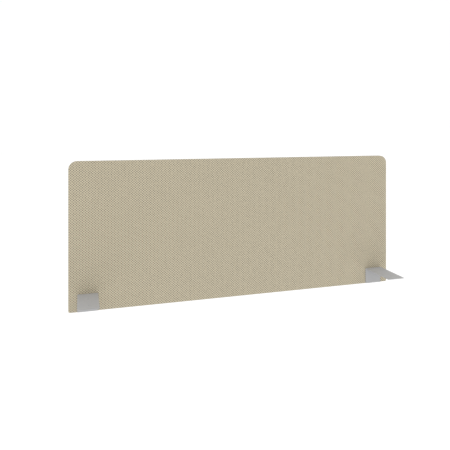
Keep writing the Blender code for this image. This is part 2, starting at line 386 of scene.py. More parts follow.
def make_mesh_cloth():
    constants = {"Sheen_Weight": 0.15, "Sheen_Roughness": 0.6}
    material, tree, shader = new_material("mesh_cloth", YARN_LIGHT, 0.95, **constants)
    cloth = tree.node("ShaderNodeUVMap", {"uv_map": "cloth"})
    place = tree.node("ShaderNodeSeparateXYZ", None, {0: cloth})
    across = place.output("X")
    up = place.output("Y")
    eye_x, eye_z, distance = nearest_eye(across, up)
    eye = 1 - tree.smooth_step(distance, *EYE_RIM)
    angle = eye_z.maths("ARCTAN2", eye_x)
    strand = 0.5 - 0.5 * ((distance - 1) * (FULL_TURN / STRAND_WIDTH)).maths("COSINE")
    twist = (angle * TWISTS_ROUND_EYE + distance * TWIST_SLANT).maths("SINE")
    fibre = fibre_pattern(tree, angle, distance, across, up)
    fleck = tree.noise(cloth, 900.0, detail=3.0, roughness=0.6)
    shade = tree.noise(cloth, 9.0)
    # Painted shade: the strand and twist waves make the crests lighter and the grooves between them
    # darker.
    tone = YARN_TONE_AND_PAINTED_SHADE["base"] + YARN_TONE_AND_PAINTED_SHADE["strand"] * strand + YARN_TONE_AND_PAINTED_SHADE["twist"] * twist
    tone += YARN_TONE_AND_PAINTED_SHADE["fibre"] * (fibre - 0.5) + YARN_TONE_AND_PAINTED_SHADE["fleck"] * (fleck - 0.5)
    tone += YARN_TONE_AND_PAINTED_SHADE["shade"] * (shade - 0.5)
    yarn = tree.mix(tone, rgb(YARN_DARK_AND_GROOVE_SHADE), rgb(YARN_LIGHT))
    connect(shader, "Base Color", tree.mix(eye, yarn, backing_colour_and_rim_shade(tree, distance, across, up)))
    relief = YARN_RELIEF["base"] + YARN_RELIEF["strand"] * strand
    relief += YARN_RELIEF["twist"] * twist + YARN_RELIEF["fibre"] * fibre
    connect(shader, "Normal", bump(tree, relief * (1 - eye), YARN_BUMP, 0.7))
    return material


MESH_CLOTH = make_mesh_cloth()

# %% [markdown]
# ## Knitting the net with Geometry Nodes
# One eye of the net is a small mesh with ten points: six on the yarn round it and four at its bottom.
# Geometry Nodes lay it out on three grids of points: the even rows, the odd rows, and the flat half steps
# at the two ends of each odd row. Then the tree joins the copies, pulls the corners in to their radius,
# and presses the eyes in by the formula above. A boolean or a displaced grid would need many more faces
# for the same eyes.

# %% One eye and one half step
def small_object(name, points, faces):
    """An object made of a few typed-in points and faces."""
    mesh = bpy.data.meshes.new(name)
    mesh.from_pydata(points, [], faces)
    return add_object(name, mesh)


ZIGZAG = 0.55 * MM
SIDE = EYE_PITCH / 2
RISE = ROW_PITCH / 2
BOTTOM_X = 0.95 * MM
BOTTOM_Z = 1.10 * MM
eye_yarn = [(-SIDE, -RISE + ZIGZAG, 0), (0, -RISE - ZIGZAG, 0), (SIDE, -RISE + ZIGZAG, 0)]
eye_yarn += [(-x, -z, 0) for x, z, _ in eye_yarn]
eye_bottom = [(-BOTTOM_X, 0, 0), (0, -BOTTOM_Z, 0), (BOTTOM_X, 0, 0), (0, BOTTOM_Z, 0)]
eye_faces = [(0, 1, 7), (1, 2, 7), (2, 8, 7), (2, 3, 8), (3, 9, 8), (3, 4, 9)]
eye_faces += [(4, 5, 9), (5, 6, 9), (5, 0, 6), (0, 7, 6), (6, 7, 8, 9)]
one_eye = small_object("one_eye", eye_yarn + eye_bottom, eye_faces)
quarter = SIDE / 2
half_step_points = [(-quarter, -RISE - ZIGZAG, 0), (quarter, -RISE + ZIGZAG, 0)]
half_step_points += [(quarter, RISE - ZIGZAG, 0), (-quarter, RISE + ZIGZAG, 0)]
half_step = small_object("half_step", half_step_points, [(0, 1, 2, 3)])

# %% [markdown]
# Every Geometry Nodes tree here starts with named inputs and ends with real geometry that has its
# material. It is run on an empty object, and the result is kept as a plain mesh.

# %% Geometry tree helpers
def new_geometry_tree(name, inputs):
    """A Geometry Nodes tree with named inputs; returns it with a wire for each input."""
    group = bpy.data.node_groups.new(name, "GeometryNodeTree")
    for input_name, kind, default in inputs:
        socket = group.interface.new_socket(name=input_name, in_out="INPUT", socket_type=kind)
        if default is not None:
            socket.default_value = default
    group.interface.new_socket(name="Geometry", in_out="OUTPUT", socket_type="NodeSocketGeometry")
    tree = Tree(group)
    group_input = group.nodes.new("NodeGroupInput")
    wires = {item[0]: Wire(tree, group_input.outputs[item[0]]) for item in inputs}
    return tree, wires


def finish_geometry_tree(tree, geometry, material):
    """Real geometry with its material, on the group's output."""
    realized = tree.node("GeometryNodeRealizeInstances", None, {"Geometry": geometry})
    painted = tree.node("GeometryNodeSetMaterial", None, {"Geometry": realized, "Material": material})
    tree.node("NodeGroupOutput", None, {"Geometry": painted})


def run_geometry_tree(tree, name, values):
    """Runs a tree on an empty object and returns a plain mesh."""
    carrier = add_object(name, bpy.data.meshes.new(name))
    modifier = carrier.modifiers.new(name, "NODES")
    modifier.node_group = tree.tree
    for item in tree.tree.interface.items_tree:
        if item.in_out == "INPUT" and item.name in values:
            modifier[item.identifier] = values[item.name]
    graph = bpy.context.evaluated_depsgraph_get()
    mesh = bpy.data.meshes.new_from_object(carrier.evaluated_get(graph), depsgraph=graph)
    bpy.data.objects.remove(carrier)
    return mesh


def lay_out(tree, unit, size_x, size_y, count_x, count_y, turn=None):
    """Copies of unit on a centred grid of points."""
    sockets = {"Size X": size_x, "Size Y": size_y, "Vertices X": count_x, "Vertices Y": count_y}
    points = tree.node("GeometryNodeMeshGrid", None, sockets)
    sockets = {"Points": points, "Instance": unit}
    if turn is not None:
        sockets["Rotation"] = turn
    return tree.node("GeometryNodeInstanceOnPoints", None, sockets)


def object_geometry(tree, wire):
    """The geometry of the object that a wire carries."""
    return tree.node("GeometryNodeObjectInfo", None, {"Object": wire}).output("Geometry")


def point_place(tree):
    """Each point's place across and up the net."""
    place = tree.node("ShaderNodeSeparateXYZ", None, {0: tree.node("GeometryNodeInputPosition")})
    return place.output("X"), place.output("Y")


def move_points(tree, geometry, x, z, height):
    """Moves each point to (x, z) on the net, raised by height."""
    place = tree.node("ShaderNodeCombineXYZ", None, {"X": x, "Y": z, "Z": height})
    return tree.node("GeometryNodeSetPosition", None, {"Geometry": geometry, "Position": place})


# %% Rows of eyes
WELD_DISTANCE = 0.02 * MM


def knit_rows(tree, wires):
    """Lays out the even rows, the odd rows and the odd rows' ends, and welds them into a flat net."""
    width, height, columns = wires["Width"], wires["Height"], wires["Columns"]
    eye = object_geometry(tree, wires["Eye"])
    end = object_geometry(tree, wires["Half step"])
    even_rows = (NET_ROWS + 1) // 2
    odd_rows = NET_ROWS // 2
    even_height = height - ROW_PITCH
    odd_height = height - 3 * ROW_PITCH
    even = lay_out(tree, eye, width - EYE_PITCH, even_height, columns, even_rows)
    odd = lay_out(tree, eye, width - 2 * EYE_PITCH, odd_height, columns - 1, odd_rows)
    at_right_end = point_place(tree)[0] > 0.0
    turn = tree.node("ShaderNodeCombineXYZ", None, {"Z": math.pi * at_right_end})
    ends = lay_out(tree, end, width - EYE_PITCH / 2, odd_height, 2, odd_rows, turn)
    joined = tree.node("GeometryNodeJoinGeometry")
    for part in (even, odd, ends):
        tree.tree.links.new(part.socket, joined.socket.node.inputs[0])
    net = tree.node("GeometryNodeRealizeInstances", None, {"Geometry": joined})
    return tree.node("GeometryNodeMergeByDistance", None, {"Geometry": net, "Distance": WELD_DISTANCE})


# %% Shape of the net
HEM_BAND = 1.5 * ZIGZAG
PRESS_RIM = (1.3, 0.6)


def straighten_hems(tree, net, height):
    """Moves the zigzag of the top and bottom borders onto straight lines."""
    x, z = point_place(tree)
    half_height = height / 2
    at_hem = z.maths("ABSOLUTE") > (half_height - HEM_BAND)
    straight_z = z + at_hem * (z.maths("SIGN") * half_height - z)
    return move_points(tree, net, x, straight_z, 0.0)


def corner_pull(x, z, half_width, half_height, radius):
    """How far a point near a square corner moves in, along X and Z, so that the corner becomes an arc."""
    along = ((x.maths("ABSOLUTE") - (half_width - radius)) / radius).maths("MAXIMUM", 0.0)
    upward = ((z - (half_height - radius)) / radius).maths("MAXIMUM", 0.0)
    pull_x = radius * along * ((1 - 0.5 * upward * upward).maths("SQRT") - 1)
    pull_z = radius * upward * ((1 - 0.5 * along * along).maths("SQRT") - 1)
    return x.maths("SIGN") * pull_x, pull_z


def round_net_corners(tree, net, width, height):
    """Pulls the net's square corners in to the panel's radii."""
    x, z = point_place(tree)
    top_x, top_z = corner_pull(x, z, width / 2, height / 2, TOP_RADIUS - EDGE_RADIUS)
    low_x, low_z = corner_pull(x, z * -1, width / 2, height / 2, BOTTOM_RADIUS - EDGE_RADIUS)
    return move_points(tree, net, x + top_x + low_x, z + top_z - low_z, 0.0)


def press_eyes(tree, net, depth):
    """Lifts the yarn a little and presses the bottom of each eye in."""
    x, z = point_place(tree)
    pressed = tree.smooth_step(nearest_eye(x, z)[2], *PRESS_RIM) * depth
    return move_points(tree, net, x, z, NET_PROUD - pressed)


# %% The net's tree
def make_net_tree():
    inputs = [
        ("Eye", "NodeSocketObject", None),
        ("Half step", "NodeSocketObject", None),
        ("Width", "NodeSocketFloat", NET_WIDTH),
        ("Height", "NodeSocketFloat", NET_HEIGHT),
        ("Columns", "NodeSocketInt", NET_COLUMNS),
        ("Eye depth", "NodeSocketFloat", EYE_DEPTH),
    ]
    tree, wires = new_geometry_tree("knitted_net", inputs)
    net = knit_rows(tree, wires)
    net = straighten_hems(tree, net, wires["Height"])
    net = round_net_corners(tree, net, wires["Width"], wires["Height"])
    net = press_eyes(tree, net, wires["Eye depth"])
    finish_geometry_tree(tree, net, MESH_CLOTH)
    return tree


net_mesh = run_geometry_tree(make_net_tree(), "net", {"Eye": one_eye, "Half step": half_step})
bpy.data.objects.remove(one_eye)
bpy.data.objects.remove(half_step)
print(f"net: {len(net_mesh.vertices)} points, {len(net_mesh.polygons)} faces")

# %% [markdown]
# ## Wrapping the net round the edge
# A flat net is only the face of the cover. The cloth turns back over the board's edge, runs to the seam
# at mid-thickness and rolls in there. So the net's border is carried along a few rings: round the edge,
# down the side, into the seam and back inside. The result is one closed skin for each half, as thick as
# the cloth.

# %% Rings round the edge
CLOTH_THICKNESS = 0.75 * MM
SEAM_HALF_GAP = 0.15 * MM
SEAM_ROLL = 0.75 * MM
# Half-way round, a quarter circle has turned in by about this share of its radius.
MIDWAY = 0.3


def edge_rings():
    """(outwards, depth) of each ring, from the face's border round the edge and back inside."""
    rings = []
    for degrees in (30, 60, 90):
        angle = math.radians(degrees)
        rings.append((EDGE_RADIUS * math.sin(angle), EDGE_RADIUS * (1 - math.cos(angle))))
    seam_depth = SEAM_Y - FRONT_LOW.y - SEAM_HALF_GAP
    inside = EDGE_RADIUS - CLOTH_THICKNESS
    rings.append((EDGE_RADIUS, seam_depth - SEAM_ROLL))
    rings.append((EDGE_RADIUS - MIDWAY * SEAM_ROLL, seam_depth - MIDWAY * SEAM_ROLL))
    rings.append((EDGE_RADIUS - SEAM_ROLL, seam_depth))
    rings.append((inside, EDGE_RADIUS))
    rings.append((inside * math.sin(math.radians(45)), CLOTH_THICKNESS + MIDWAY * inside))
    rings.append((0, CLOTH_THICKNESS))
    return rings


def border_loop(mesh):
    """Indices of the border's points, in order."""
    build = bmesh.new()
    build.from_mesh(mesh)
    neighbours = {}
    for edge in build.edges:
        if edge.is_boundary:
            first, second = (vert.index for vert in edge.verts)
            neighbours.setdefault(first, []).append(second)
            neighbours.setdefault(second, []).append(first)
    build.free()
    start = min(neighbours)
    loop = [start]
    previous, current = start, neighbours[start][0]
    while current != start:
        loop.append(current)
        following = [index for index in neighbours[current] if index != previous][0]
        previous, current = current, following
    return loop


def outward(x, z):
    """The direction away from the panel, in its plane, at a point of the net's border."""
    radius = (TOP_RADIUS if z > 0 else BOTTOM_RADIUS) - EDGE_RADIUS
    beyond_x = max(abs(x) - (NET_WIDTH / 2 - radius), 0)
    beyond_z = max(abs(z) - (NET_HEIGHT / 2 - radius), 0)
    length = math.hypot(beyond_x, beyond_z)
    return math.copysign(beyond_x / length, x), math.copysign(beyond_z / length, z)


# %% Cover halves
def wrap_border(points, cloth, faces, face_y, into):
    """Carries the net's border along the rings and closes the skin inside.

    points gets each new point, cloth its place on the flat cloth, and faces the new faces.
    """
    border = border_loop(net_mesh)
    directions = [outward(*cloth[index]) for index in border]
    ring = border
    run = 0.0
    last = (0.0, 0.0)
    for out, depth in edge_rings():
        run += math.hypot(out - last[0], depth - last[1])
        last = (out, depth)
        start = len(points)
        for index, (along, upward) in zip(border, directions):
            x, z = cloth[index]
            points.append((x + along * out, face_y + into * depth, PANEL_CENTRE_Z + z + upward * out))
            cloth.append((x + along * run, z + upward * run))
        following = list(range(start, len(points)))
        for step in range(len(ring)):
            after = (step + 1) % len(ring)
            faces.append((ring[step], ring[after], following[after], following[step]))
        ring = following
    faces.append(tuple(ring))


def add_cloth_map(mesh, cloth):
    """Writes down where each point lies on the flat cloth."""
    corner_points = np.empty(len(mesh.loops), dtype=np.int32)
    mesh.loops.foreach_get("vertex_index", corner_points)
    cloth_map = mesh.uv_layers.new(name="cloth")
    cloth_map.uv.foreach_set("vector", np.array(cloth, dtype=np.float32)[corner_points].ravel())


def make_cover(name, face_y, into):
    """One half of the cover; into is +1 where its inside lies towards +Y."""
    flat = [tuple(vert.co) for vert in net_mesh.vertices]
    cloth = [(x, z) for x, z, _ in flat]
    points = [(x, face_y - into * height, PANEL_CENTRE_Z + z) for x, z, height in flat]
    faces = [tuple(polygon.vertices) for polygon in net_mesh.polygons]
    wrap_border(points, cloth, faces, face_y, into)
    mesh = bpy.data.meshes.new(name)
    mesh.from_pydata(points, [], faces)
    build = bmesh.new()
    build.from_mesh(mesh)
    bmesh.ops.recalc_face_normals(build, faces=build.faces)
    build.to_mesh(mesh)
    build.free()
    add_cloth_map(mesh, cloth)
    mesh.shade_smooth()
    mesh.materials.append(MESH_CLOTH)
    print(f"{name}: {sum(len(polygon.vertices) - 2 for polygon in mesh.polygons)} triangles")
    return add_object(name, mesh)


front_mesh_cover = make_cover("front_mesh_cover", FRONT_LOW.y, 1)
rear_mesh_cover = make_cover("rear_mesh_cover", REAR_HIGH.y, -1)
for cover, node in ((front_mesh_cover, "front_cover"), (rear_mesh_cover, "rear_cover")):
    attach(cover, "root")
    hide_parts(node)

# %% [markdown]
# ## Powder coat, zinc and the hidden materials
# Powder coat is matt to satin and very slightly pebbled, because the powder melts into a skin of small
# drops. Bright zinc is a metal with fine brushed and cloudy patches.

# %% Powder coat
POWDER_TINT = 0.015


def make_powder_coat():
    grey = (0.424, 0.424, 0.427)
    material, tree, shader = new_material("grey_powder_coat", grey, 0.68, Specular_IOR_Level=0.4)
    place = tree.object_place()
    pebble = tree.noise(place, 1400.0, detail=2.0)
    cloud = tree.noise(place, 22.0, detail=3.0)
    tone = tree.smooth_step(0.6 * cloud + 0.4 * pebble, 0.3, 0.7)
    lighter = tuple((1 + POWDER_TINT) * part for part in grey)
    darker = tuple((1 - POWDER_TINT) * part for part in grey)
    connect(shader, "Base Color", tree.mix(tone, rgb(darker), rgb(lighter)))
    connect(shader, "Roughness", 0.60 + 0.16 * cloud)
    connect(shader, "Normal", bump(tree, pebble, 0.05 * MM, 0.5))
    return material


POWDER_COAT = make_powder_coat()

# %% Zinc plate
def make_zinc_plate():
    zinc_middle = (0.66, 0.67, 0.68)
    zinc_light = (0.72, 0.73, 0.74)
    zinc_dark = (0.58, 0.59, 0.60)
    material, tree, shader = new_material("zinc_plate", zinc_middle, 0.35, metallic=1.0)
    place = tree.object_place()
    cloud = tree.noise(place, 260.0, detail=3.0)
    squeezed = tree.node("ShaderNodeMapping", None, {0: place, "Scale": (1.0, 1.0, 9.0)})
    streaks = tree.noise(squeezed, 700.0)
    tone = tree.smooth_step(cloud, 0.3, 0.7)
    connect(shader, "Base Color", tree.mix(tone, rgb(zinc_dark), rgb(zinc_light)))
    connect(shader, "Roughness", 0.24 + 0.2 * streaks)
    connect(shader, "Normal", bump(tree, streaks, 0.02 * MM, 0.4))
    return material


ZINC_PLATE = make_zinc_plate()

# %% [markdown]
# The board and the padding hardly show, but they get their own chips and fibres all the same. The thread
# is two plies twisted together, which a slanting wave stands for; the wave also paints the plies' crests
# lighter and the grooves between them darker, as painted shade.

# %% Board, padding and thread
def make_particle_board():
    chip_light = (0.62, 0.48, 0.31)
    chip_dark = (0.36, 0.25, 0.14)
    material, tree, shader = new_material("particle_board", chip_light, 0.8)
    place = tree.object_place()
    settings = {"voronoi_dimensions": "3D", "feature": "F1"}
    chips = tree.node("ShaderNodeTexVoronoi", settings, {"Vector": place, "Scale": 450.0}).output("Color")
    chip_tone = tree.node("ShaderNodeSeparateColor", None, {0: chips})
    fibre = tree.noise(place, 1200.0, detail=3.0)
    tone = tree.smooth_step(0.7 * chip_tone + 0.3 * fibre, 0.1, 0.9)
    connect(shader, "Base Color", tree.mix(tone, rgb(chip_dark), rgb(chip_light)))
    connect(shader, "Normal", bump(tree, chip_tone + fibre, 0.2 * MM, 0.5))
    return material


def make_padding():
    fluff_middle = (0.30, 0.30, 0.28)
    fluff_light = (0.36, 0.36, 0.34)
    fluff_dark = (0.17, 0.17, 0.16)
    material, tree, shader = new_material("needled_padding", fluff_middle, 1.0, Sheen_Weight=0.2)
    place = tree.object_place()
    fibre = tree.noise(place, 800.0, detail=4.0, roughness=0.7)
    tone = tree.smooth_step(fibre, 0.3, 0.7)
    connect(shader, "Base Color", tree.mix(tone, rgb(fluff_dark), rgb(fluff_light)))
    connect(shader, "Normal", bump(tree, fibre, 0.5 * MM, 0.8))
    return material


def make_thread():
    thread_middle = (0.34, 0.30, 0.22)
    thread_light = (0.42, 0.37, 0.27)
    thread_dark_groove_shade = (0.25, 0.22, 0.16)
    twist_pitch = 0.7 * MM
    material, tree, shader = new_material("seam_thread", thread_middle, 0.6, Sheen_Weight=0.2)
    axes = tree.node("ShaderNodeSeparateXYZ", None, {0: tree.object_place()})
    slant = (axes.output("X") + axes.output("Y") + axes.output("Z")) * (FULL_TURN / twist_pitch)
    ply = slant.maths("SINE")
    # Painted shade: the ply wave makes the crests lighter and the grooves between the plies darker.
    tone = tree.smooth_step(ply, -1.0, 1.0)
    connect(shader, "Base Color", tree.mix(tone, rgb(thread_dark_groove_shade), rgb(thread_light)))
    connect(shader, "Normal", bump(tree, ply, 0.05 * MM, 0.6))
    return material


PARTICLE_BOARD = make_particle_board()
PADDING = make_padding()
THREAD = make_thread()

# %% [markdown]
# ## Stitching round the edge
# The two halves are sewn together and each is topstitched beside the seam, which keeps the roll flat. One
# stitch is a small bead of thread. Geometry Nodes set it along a path round both sides and the top,
# turned so that it lies along the path and on the side wall.

# %% One stitch and its path
STITCH_LENGTH = 2.9 * MM
STITCH_PITCH = 3.9 * MM
THREAD_RADIUS = 0.32 * MM
STITCH_FROM_SEAM = 2.0 * MM
ARC_STEPS = 12


def make_stitch_unit():
    """One bead of thread along X."""
    build = bmesh.new()
    bmesh.ops.create_uvsphere(build, u_segments=8, v_segments=5, radius=1.0)
    long_way = Matrix.Rotation(math.radians(90), 4, "Y")
    size = Matrix.Diagonal((STITCH_LENGTH / 2, THREAD_RADIUS, THREAD_RADIUS, 1))
    bmesh.ops.transform(build, matrix=size @ long_way, verts=build.verts)
    for face in build.faces:
        face.smooth = True
    return add_object("stitch_unit", mesh_from(build, "stitch_unit"))


def edge_path(name, y):
    """An open path round the left side, the top and the right side, on the side wall's surface."""
    half = PANEL_LENGTH / 2
    low = FRONT_LOW.z + 2 * BOTTOM_RADIUS
    top = FRONT_HIGH.z
    points = [(-half, y, low)]
    for side, first_angle in ((-1, 180), (1, 90)):
        centre_x = side * (half - TOP_RADIUS)
        for step in range(ARC_STEPS + 1):
            angle = math.radians(first_angle - 90 * step / ARC_STEPS)
            x = centre_x + TOP_RADIUS * math.cos(angle)
            z = top - TOP_RADIUS + TOP_RADIUS * math.sin(angle)
            points.append((x, y, z))
    points.append((half, y, low))
    curve = bpy.data.curves.new(name, "CURVE")
    curve.dimensions = "3D"
    spline = curve.splines.new("POLY")
    spline.points.add(len(points) - 1)
    for point, place in zip(spline.points, points):
        point.co = (*place, 1.0)
    return add_object(name, curve)


# %% The stitching tree
def make_stitch_tree():
    inputs = [
        ("Path", "NodeSocketObject", None),
        ("Stitch", "NodeSocketObject", None),
        ("Pitch", "NodeSocketFloat", STITCH_PITCH),
    ]
    tree, wires = new_geometry_tree("stitched_edge", inputs)
    path = object_geometry(tree, wires["Path"])
    sockets = {"Curve": path, "Length": wires["Pitch"]}
    points = tree.node("GeometryNodeCurveToPoints", {"mode": "LENGTH"}, sockets)
    tangent = points.output("Tangent")
    sockets = {0: tangent, 1: (0, 1, 0)}
    away = tree.node("ShaderNodeVectorMath", {"operation": "CROSS_PRODUCT"}, sockets)
    along = tree.node("FunctionNodeAlignRotationToVector", {"axis": "X"}, {"Vector": tangent})
    sockets = {"Rotation": along, "Vector": away}
    turned = tree.node("FunctionNodeAlignRotationToVector", {"axis": "Z", "pivot_axis": "X"}, sockets)
    unit = object_geometry(tree, wires["Stitch"])
    sockets = {"Points": points, "Instance": unit, "Rotation": turned}
    stitches = tree.node("GeometryNodeInstanceOnPoints", None, sockets)
    finish_geometry_tree(tree, stitches, THREAD)
    return tree


# %% Two rows of topstitching
def add_piece(name, mesh, slot, *nodes):
    """Puts a finished mesh in the scene as a piece of the panel."""
    piece = add_object(name, mesh)
    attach(piece, "root")
    if nodes:
        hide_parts(*nodes)
    return piece


stitch_unit = make_stitch_unit()
stitch_tree = make_stitch_tree()
for name, into in (("front_topstitch", -1), ("rear_topstitch", 1)):
    path = edge_path(f"{name}_path", SEAM_Y + into * STITCH_FROM_SEAM)
    stitches = run_geometry_tree(stitch_tree, name, {"Path": path, "Stitch": stitch_unit})
    bpy.data.objects.remove(path)
    add_piece(name, stitches, "cover_fabric")
    print(f"{name}: {len(stitches.polygons)} faces")
bpy.data.objects.remove(stitch_unit)

# %% [markdown]
# ## Staples under the board
# At the bottom the two halves are turned under the board and stapled side by side. A staple is a flat
# wire bent at two corners. A row of points places it, once for each half.

# %% One staple
STAPLE_WIDTH = 10 * MM
STAPLE_WIRE = 0.5 * MM
STAPLE_FLAT = 0.9 * MM
STAPLE_LEG = 5 * MM
STAPLE_BEND = 1.0 * MM


def prism(name, outline, axis, start, end):
    """Extrudes a closed outline along X or Y; the outline is in (Y, Z) for X and in (X, Z) for Y."""
    build = bmesh.new()
    rings = []
    for place in (start, end):
        if axis == "X":
            rings.append([build.verts.new((place, first, second)) for first, second in outline])
        else:
            rings.append([build.verts.new((first, place, second)) for first, second in outline])
    for step in range(len(outline)):
        after = (step + 1) % len(outline)
        build.faces.new((rings[0][step], rings[0][after], rings[1][after], rings[1][step]))
    for ring in rings:
        build.faces.new(ring)
    bmesh.ops.recalc_face_normals(build, faces=build.faces)
    return add_object(name, mesh_from(build, name))


def make_staple_unit():
    """A bent flat wire whose crown lies on the plane Z = 0 and whose legs point up into the board."""
    outer = []
    inner = []
    for side, angles in ((-1, (180, 225, 270)), (1, (270, 315, 360))):
        centre_x = side * (STAPLE_WIDTH / 2 - STAPLE_BEND)
        for degrees in angles:
            angle = math.radians(degrees)
            for line, radius in ((outer, STAPLE_BEND), (inner, STAPLE_BEND - STAPLE_WIRE)):
                line.append((centre_x + radius * math.cos(angle), STAPLE_BEND + radius * math.sin(angle)))
    half = STAPLE_WIDTH / 2
    outer = [(-half, STAPLE_LEG)] + outer + [(half, STAPLE_LEG)]
    inner = [(-half + STAPLE_WIRE, STAPLE_LEG)] + inner + [(half - STAPLE_WIRE, STAPLE_LEG)]
    outline = outer + inner[::-1]
    return prism("staple_unit", outline, "Y", -STAPLE_FLAT / 2, STAPLE_FLAT / 2)


# %% Rows of staples
STAPLE_PITCH = 42 * MM
STAPLE_FROM_SEAM = 4.5 * MM
SHARE_OUTSIDE_CLOTH = 0.7
STAPLE_COUNT = int((PANEL_LENGTH - 2 * TOP_RADIUS) / STAPLE_PITCH) + 1


def make_staple_tree():
    inputs = [
        ("Staple", "NodeSocketObject", None),
        ("Count", "NodeSocketInt", STAPLE_COUNT),
        ("Pitch", "NodeSocketFloat", STAPLE_PITCH),
        ("Across", "NodeSocketFloat", 0.0),
        ("Height", "NodeSocketFloat", 0.0),
    ]
    tree, wires = new_geometry_tree("staple_row", inputs)
    pitch, count = wires["Pitch"], wires["Count"]
    first_x = (count - 1) * pitch * -0.5
    start = tree.node("ShaderNodeCombineXYZ", None, {0: first_x, 1: wires["Across"], 2: wires["Height"]})
    step = tree.node("ShaderNodeCombineXYZ", None, {0: pitch})
    sockets = {"Count": count, "Start Location": start, "Offset": step}
    line = tree.node("GeometryNodeMeshLine", None, sockets)
    unit = object_geometry(tree, wires["Staple"])
    staples = tree.node("GeometryNodeInstanceOnPoints", None, {"Points": line, "Instance": unit})
    finish_geometry_tree(tree, staples, ZINC_PLATE)
    return tree


staple_unit = make_staple_unit()
staple_tree = make_staple_tree()
for name, across in (("front_staples", -STAPLE_FROM_SEAM), ("rear_staples", STAPLE_FROM_SEAM)):
    values = {"Staple": staple_unit, "Count": STAPLE_COUNT}
    values["Across"] = SEAM_Y + across
    values["Height"] = FRONT_LOW.z - SHARE_OUTSIDE_CLOTH * STAPLE_WIRE
    add_piece(name, run_geometry_tree(staple_tree, name, values), "zinc_plate")
bpy.data.objects.remove(staple_unit)
print(f"{STAPLE_COUNT} staples in each row")

# %% [markdown]
# ## Brackets and rear plates
# Both are cut from sheet steel, so both start as an outline that is extruded. The bracket's outline is
# its side view with the bend's two arcs. Round holes are cut next, and a narrow bevel breaks every sharp
# edge, as blasting and powder do on the real sheet.

# %% Cutting holes
HOLE_SIDES = 40


def applied_mesh(obj):
    """The object's mesh with its modifiers applied; the object is removed."""
    graph = bpy.context.evaluated_depsgraph_get()
    mesh = bpy.data.meshes.new_from_object(obj.evaluated_get(graph), depsgraph=graph)
    bpy.data.objects.remove(obj)
    return mesh


def make_cutter(place, turn, radius, depth, sides):
    """A bar, centred on place, whose length runs along the turned Z."""
    build = bmesh.new()
    matrix = Matrix.Translation(place) @ turn
    size = {"radius1": radius, "radius2": radius, "depth": depth}
    bmesh.ops.create_cone(build, cap_ends=True, segments=sides, matrix=matrix, **size)
    return add_object("cutter", mesh_from(build, "cutter"))


def cut_out(obj, cutters):
    """Cuts the cutters out of obj and returns the cut mesh; obj and the cutters are removed."""
    for cutter in cutters:
        cut = obj.modifiers.new("hole", "BOOLEAN")
        cut.operation = "DIFFERENCE"
        cut.object = cutter
    mesh = applied_mesh(obj)
    for cutter in cutters:
        bpy.data.objects.remove(cutter)
    return mesh


def cut_round_holes(obj, places, radius, direction):
    """Cuts round holes through obj and returns the cut mesh."""
    turn = direction.to_track_quat("Z", "X").to_matrix().to_4x4()
    cutters = [make_cutter(place, turn, radius, 8 * radius, HOLE_SIDES) for place in places]
    return cut_out(obj, cutters)


# %% Rounding and breaking edges
SHARP_ANGLE = math.radians(32)


def round_corners(obj, wanted, radius, steps):
    """Rounds the edges for which wanted(first point, second point) is true."""
    build = bmesh.new()
    build.from_mesh(obj.data)
    edges = [edge for edge in build.edges if wanted(edge.verts[0].co, edge.verts[1].co)]
    bmesh.ops.bevel(build, geom=edges, offset=radius, segments=steps, profile=0.5, affect="EDGES")
    build.to_mesh(obj.data)
    build.free()


def soften_edges(piece, width, segments, angle):
    """Bevels the edges that are sharper than angle."""
    bevel = piece.modifiers.new("soft_edges", "BEVEL")
    bevel.width = width
    bevel.segments = segments
    bevel.limit_method = "ANGLE"
    bevel.angle_limit = angle
    bevel.harden_normals = True


def finish_metal(piece, material, width):
    """Breaks the edges of a metal piece and shades it smooth."""
    piece.data.materials.clear()
    piece.data.materials.append(material)
    piece.data.shade_smooth()
    soften_edges(piece, width, 3, SHARP_ANGLE)


# %% Brackets
SHEET = 2 * MM
BEND_INSIDE = 1 * MM
CORNER_RADIUS = 1 * MM
CORNER_STEPS = 6
EDGE_BREAK = 0.3 * MM
DESK_HOLE_RADIUS = 2.25 * MM
DESK_HOLE_ROWS = (-45 * MM, -105 * MM)
ARC_DEGREES = 6
SMALL = 0.01 * MM


def bracket_outline(low, high):
    """Side view of the bent sheet: leg down at the back, flange forward, one bend."""
    outside = BEND_INSIDE + SHEET
    centre_y = high.y - outside
    centre_z = high.z - outside
    outline = [(high.y, low.z)]
    bend_angles = list(range(0, 91, ARC_DEGREES))
    for radius, angles in ((outside, bend_angles), (BEND_INSIDE, bend_angles[::-1])):
        arc = []
        for degrees in angles:
            angle = math.radians(degrees)
            arc.append((centre_y + radius * math.cos(angle), centre_z + radius * math.sin(angle)))
        outline += arc
        if radius == outside:
            outline += [(low.y, high.z), (low.y, high.z - SHEET)]
    outline.append((high.y - SHEET, low.z))
    return outline


def make_bracket(side):
    low, high = node_box(f"{side}_bracket")
    body = prism(f"{side}_bracket_sheet", bracket_outline(low, high), "X", low.x, high.x)

    def is_free_corner(first, second):
        across = abs(first.x - second.x) < SMALL
        at_tip = max(first.y, second.y) < low.y + SMALL
        at_foot = max(first.z, second.z) < low.z + SMALL
        return across and (at_tip or at_foot)

    round_corners(body, is_free_corner, CORNER_RADIUS, CORNER_STEPS)
    middle_x = (low.x + high.x) / 2
    holes = [Vector((middle_x, y, high.z - SHEET / 2)) for y in DESK_HOLE_ROWS]
    mesh = cut_round_holes(body, holes, DESK_HOLE_RADIUS, Vector((0, 0, 1)))
    bracket = add_piece(f"{side}_desk_bracket", mesh, "powder_coat", f"{side}_bracket")
    finish_metal(bracket, POWDER_COAT, EDGE_BREAK)


for side in ("left", "right"):
    make_bracket(side)

# %% Rear plates
PLATE_CORNER_RADIUS = 3 * MM
PLATE_CORNER_STEPS = 8
PLATE_HOLE_RADIUS = 4.3 * MM


